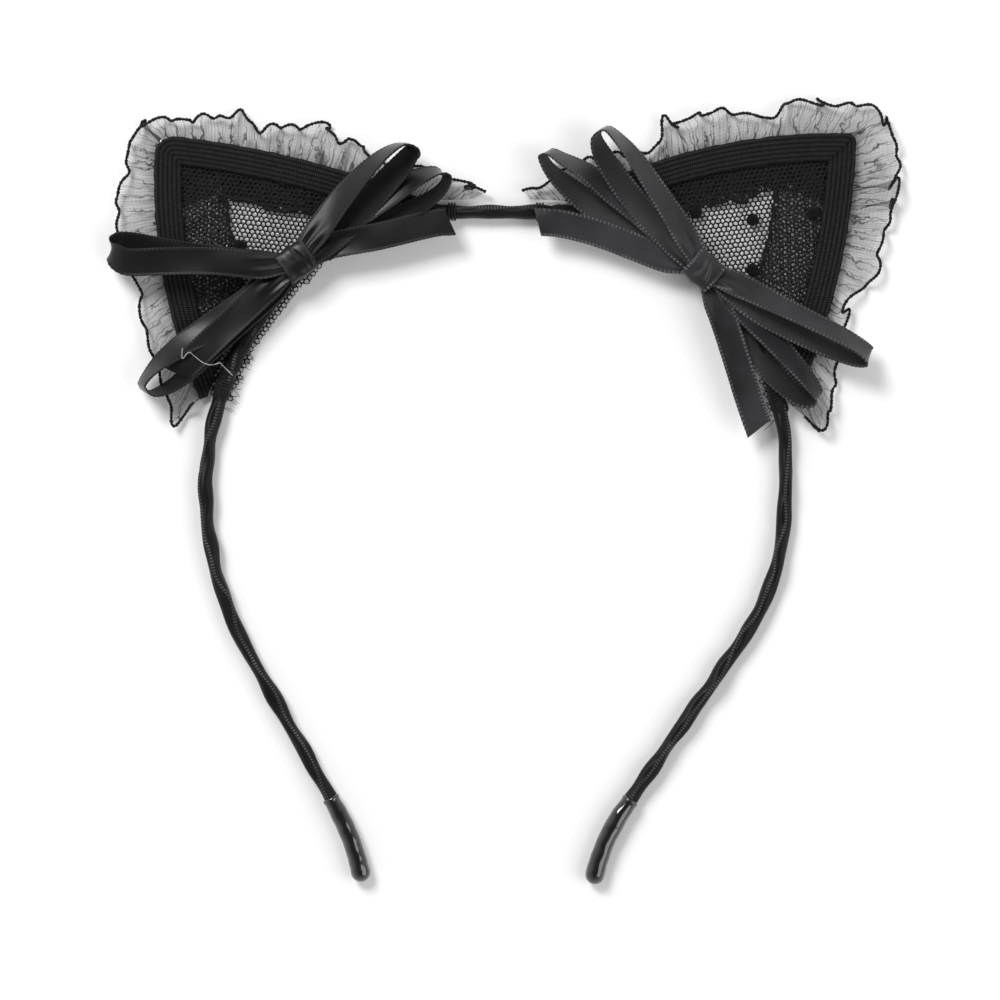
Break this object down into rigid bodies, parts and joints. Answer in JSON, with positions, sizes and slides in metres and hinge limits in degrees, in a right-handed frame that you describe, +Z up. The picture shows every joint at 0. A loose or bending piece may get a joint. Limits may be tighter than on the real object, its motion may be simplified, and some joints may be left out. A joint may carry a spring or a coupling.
{
  "type": "cat ear headband",
  "caption": "Flexible hair band wrapped in satin ribbon, with wired net cat ears edged in ribbed braid and a sheer organza frill, and a satin bow at the foot of each ear.",
  "frame": {"origin": "centre of the headband's bounding box on the surface it lies on, with the headband lying on its back", "axes": "+Z up off the surface through the thin way of the headband, +Y towards the tips of the ears, +X towards the wearer's left ear as seen from the front of the ears"},
  "size_m": [0.1904, 0.1892, 0.0096],
  "materials": {
    "steel_wire": "bright drawn spring steel",
    "satin_ribbon": "soft satin sheen",
    "dipped_cap": "gloss",
    "ribbed_braid": "matte ribbed",
    "hex_net": "open net",
    "flock": "velvety",
    "organza": "sheer with a light sheen",
    "edging_cord": "matte thread",
    "sewing_thread": "matte thread"
  },
  "bodies": {
    "crown": {"crown_core": "steel_wire", "crown_wrap": "satin_ribbon", "left_foot_lashings": "sewing_thread", "right_foot_lashings": "sewing_thread", "left_bow_stitches": "sewing_thread", "right_bow_stitches": "sewing_thread"},
    "left_arm": {"left_arm_core": "steel_wire", "left_arm_wrap": "satin_ribbon", "left_tip_cap": "dipped_cap"},
    "right_arm": {"right_arm_core": "steel_wire", "right_arm_wrap": "satin_ribbon", "right_tip_cap": "dipped_cap"},
    "left_ear": {"left_ear_wire": "steel_wire", "left_ear_braid": "ribbed_braid", "left_ear_net": "hex_net", "left_net_facing": "hex_net", "left_net_dots": "flock", "left_ruffle": "organza", "left_ruffle_edging": "edging_cord", "left_bow_lower_loops": "satin_ribbon", "left_bow_tails": "satin_ribbon", "left_bow_upper_loops": "satin_ribbon", "left_bow_knot": "satin_ribbon"},
    "right_ear": {"right_ear_wire": "steel_wire", "right_ear_braid": "ribbed_braid", "right_ear_net": "hex_net", "right_net_facing": "hex_net", "right_net_dots": "flock", "right_ruffle": "organza", "right_ruffle_edging": "edging_cord", "right_bow_lower_loops": "satin_ribbon", "right_bow_tails": "satin_ribbon", "right_bow_upper_loops": "satin_ribbon", "right_bow_knot": "satin_ribbon"}
  },
  "joints": [
    {"name": "left_arm_flex", "type": "hinge", "parent": "crown", "child": "left_arm", "pos_m": [-0.06933, 0.01918, 0.0024], "axis": [0, 0, -1], "range_deg": [-5, 20], "stiffness_Nm_per_rad": 0.8},
    {"name": "right_arm_flex", "type": "hinge", "parent": "crown", "child": "right_arm", "pos_m": [0.06647, 0.01751, 0.0024], "axis": [0, 0, 1], "range_deg": [-5, 20], "stiffness_Nm_per_rad": 0.8},
    {"name": "left_ear_tilt", "type": "hinge", "parent": "crown", "child": "left_ear", "pos_m": [-0.0696, 0.0222, 0.00105], "axis": [0.7878, 0.616, 0], "range_deg": [0, 30]},
    {"name": "right_ear_tilt", "type": "hinge", "parent": "crown", "child": "right_ear", "pos_m": [0.0096, 0.0668, 0.00105], "axis": [0.7662, -0.6426, 0], "range_deg": [0, 30]}
  ]
}
